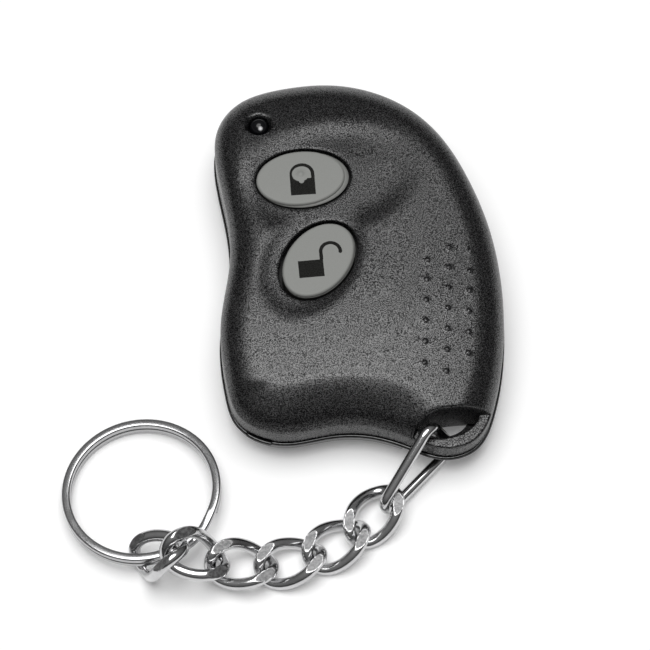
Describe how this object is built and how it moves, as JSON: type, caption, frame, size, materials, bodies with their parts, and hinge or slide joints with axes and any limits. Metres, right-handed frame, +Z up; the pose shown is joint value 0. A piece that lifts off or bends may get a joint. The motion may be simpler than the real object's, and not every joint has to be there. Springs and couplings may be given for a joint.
{
  "type": "keyless entry key fob",
  "caption": "Kidney-shaped black remote key fob with oval rubber push buttons and an indicator light, on a curb chain with a split ring.",
  "frame": {"origin": "middle of the flat back face, at the level of the surface that the fob lies on", "axes": "+Z up out of the button side, +Y to the end with the indicator light, +X to the side with the grip"},
  "size_m": [0.0673, 0.0848, 0.0137],
  "materials": {
    "case_black": "fine grain",
    "button_grey": "matte",
    "lamp_dark": "polished",
    "board_green": "solder resist",
    "cell_wrap": "satin",
    "contact_steel": "satin",
    "chip_black": "matte",
    "can_steel": "satin",
    "switch_black": "matte",
    "plunger_brown": "satin",
    "chain_chrome": "polished",
    "ring_chrome": "polished"
  },
  "bodies": {
    "case": {"top_shell": "case_black", "bottom_shell": "case_black", "circuit_board": "board_green", "status_led": "lamp_dark", "battery": "cell_wrap", "positive_contact": "contact_steel", "negative_contact": "contact_steel", "encoder_chip": "chip_black", "resonator_can": "can_steel", "lock_switch_body": "switch_black", "unlock_switch_body": "switch_black"},
    "lock_button": {"lock_button": "button_grey"},
    "lock_plunger": {"lock_switch_plunger": "plunger_brown"},
    "unlock_button": {"unlock_button": "button_grey"},
    "unlock_plunger": {"unlock_switch_plunger": "plunger_brown"},
    "loop": {"loop_link": "chain_chrome"},
    "link_1": {"chain_link_1": "chain_chrome"},
    "link_2": {"chain_link_2": "chain_chrome"},
    "link_3": {"chain_link_3": "chain_chrome"},
    "link_4": {"chain_link_4": "chain_chrome"},
    "link_5": {"chain_link_5": "chain_chrome"},
    "link_6": {"chain_link_6": "chain_chrome"},
    "ring": {"split_ring": "ring_chrome"}
  },
  "joints": [
    {"name": "lock_press", "type": "slide", "parent": "case", "child": "lock_button", "axis": [0, 0, -1], "range_m": [0, 0.0005], "stiffness_N_per_m": 2500},
    {"name": "lock_switch_travel", "type": "slide", "parent": "case", "child": "lock_plunger", "axis": [0, 0, -1], "range_m": [0, 0.00025]},
    {"name": "unlock_press", "type": "slide", "parent": "case", "child": "unlock_button", "axis": [0, 0, -1], "range_m": [0, 0.0005], "stiffness_N_per_m": 2500},
    {"name": "unlock_switch_travel", "type": "slide", "parent": "case", "child": "unlock_plunger", "axis": [0, 0, -1], "range_m": [0, 0.00025]},
    {"name": "loop_swing", "type": "hinge", "parent": "case", "child": "loop", "pos_m": [0.01205, -0.02882, 0.00568], "axis": [-0.3638, -0.0639, 0.9293], "range_deg": [0, 25]},
    {"name": "link_1_swing", "type": "hinge", "parent": "loop", "child": "link_1", "pos_m": [0.00368, -0.03857, 0.0028], "axis": [0, 0, 1], "range_deg": [-8, 20]},
    {"name": "link_2_swing", "type": "hinge", "parent": "link_1", "child": "link_2", "pos_m": [-0.00073, -0.0431, 0.00204], "axis": [0, 0, -1], "range_deg": [-20, 8]},
    {"name": "link_3_swing", "type": "hinge", "parent": "link_2", "child": "link_3", "pos_m": [-0.0071, -0.04676, 0.0019], "axis": [0, 0, 1], "range_deg": [-8, 20]},
    {"name": "link_4_swing", "type": "hinge", "parent": "link_3", "child": "link_4", "pos_m": [-0.01426, -0.04855, 0.00189], "axis": [0, 0, -1], "range_deg": [-20, 8]},
    {"name": "link_5_swing", "type": "hinge", "parent": "link_4", "child": "link_5", "pos_m": [-0.02146, -0.0484, 0.00347], "axis": [0, 0, 1], "range_deg": [-8, 20]},
    {"name": "link_6_swing", "type": "hinge", "parent": "link_5", "child": "link_6", "pos_m": [-0.02775, -0.04794, 0.00695], "axis": [0, 0, -1], "range_deg": [-18, 0]},
    {"name": "ring_turn", "type": "hinge", "parent": "link_6", "child": "ring", "pos_m": [-0.03314, -0.03658, 0.0023], "axis": [-0.061, 0.074, 0.9954], "range_deg": [0, 250]}
  ],
  "couplings": [
    {"joint": "lock_switch_travel", "follows": "lock_press", "ratio": 0.5},
    {"joint": "unlock_switch_travel", "follows": "unlock_press", "ratio": 0.5}
  ]
}
